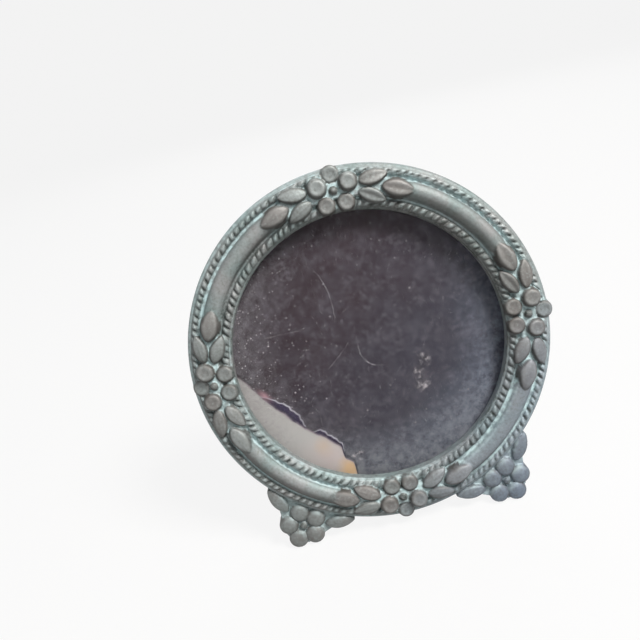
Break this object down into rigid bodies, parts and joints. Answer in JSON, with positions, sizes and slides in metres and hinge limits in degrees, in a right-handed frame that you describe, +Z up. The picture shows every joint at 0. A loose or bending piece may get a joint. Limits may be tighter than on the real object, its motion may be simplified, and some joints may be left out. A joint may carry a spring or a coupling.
{
  "type": "desk picture frame",
  "caption": "Round cast pewter desk picture frame with flower sprays, rope borders and flowered feet, glazed, with a turn-button back and a folding easel leg.",
  "frame": {"origin": "middle of the standing frame's bounding box, on the table", "axes": "+Z up, the picture faces -Y, the easel leg is towards +Y, +X to the right of someone looking at the picture"},
  "size_m": [0.0926, 0.0392, 0.0923],
  "materials": {
    "pewter": "satin cast pewter with pale patina in the hollows",
    "glazing": "clear float glass, a little dusty",
    "print": "dark photographic paper, torn at one side",
    "card": "pale uncoated card",
    "flock": "dark flock on board",
    "steel": "bright zinc-plated sheet"
  },
  "bodies": {
    "frame_body": {"cast_frame": "pewter", "glass_disc": "glazing", "picture_print": "print", "backing_card": "card", "back_board": "flock", "turn_screw_upper_right": "steel", "turn_screw_lower_right": "steel", "turn_screw_lower_left": "steel", "turn_screw_upper_left": "steel", "hinge_plate": "steel", "hinge_pin": "steel", "plate_rivet_left": "steel", "plate_rivet_right": "steel"},
    "leg": {"hinge_leaf": "steel", "easel_leg": "flock", "leaf_rivet_left": "steel", "leaf_rivet_right": "steel"},
    "button_upper_right": {"turn_button_upper_right": "steel"},
    "button_lower_right": {"turn_button_lower_right": "steel"},
    "button_lower_left": {"turn_button_lower_left": "steel"},
    "button_upper_left": {"turn_button_upper_left": "steel"}
  },
  "joints": [
    {"name": "leg_fold", "type": "hinge", "parent": "frame_body", "child": "leg", "pos_m": [0, 0.00466, 0.05695], "axis": [-1, 0, 0], "range_deg": [0, 28]},
    {"name": "turn_upper_right", "type": "hinge", "parent": "frame_body", "child": "button_upper_right", "pos_m": [0.02927, 0.00782, 0.07397], "axis": [0, 0.9703, -0.2419], "continuous": true},
    {"name": "turn_lower_right", "type": "hinge", "parent": "frame_body", "child": "button_lower_right", "pos_m": [0.02927, -0.00635, 0.01716], "axis": [0, 0.9703, -0.2419], "continuous": true},
    {"name": "turn_lower_left", "type": "hinge", "parent": "frame_body", "child": "button_lower_left", "pos_m": [-0.02927, -0.00635, 0.01716], "axis": [0, 0.9703, -0.2419], "continuous": true},
    {"name": "turn_upper_left", "type": "hinge", "parent": "frame_body", "child": "button_upper_left", "pos_m": [-0.02927, 0.00782, 0.07397], "axis": [0, 0.9703, -0.2419], "continuous": true}
  ]
}
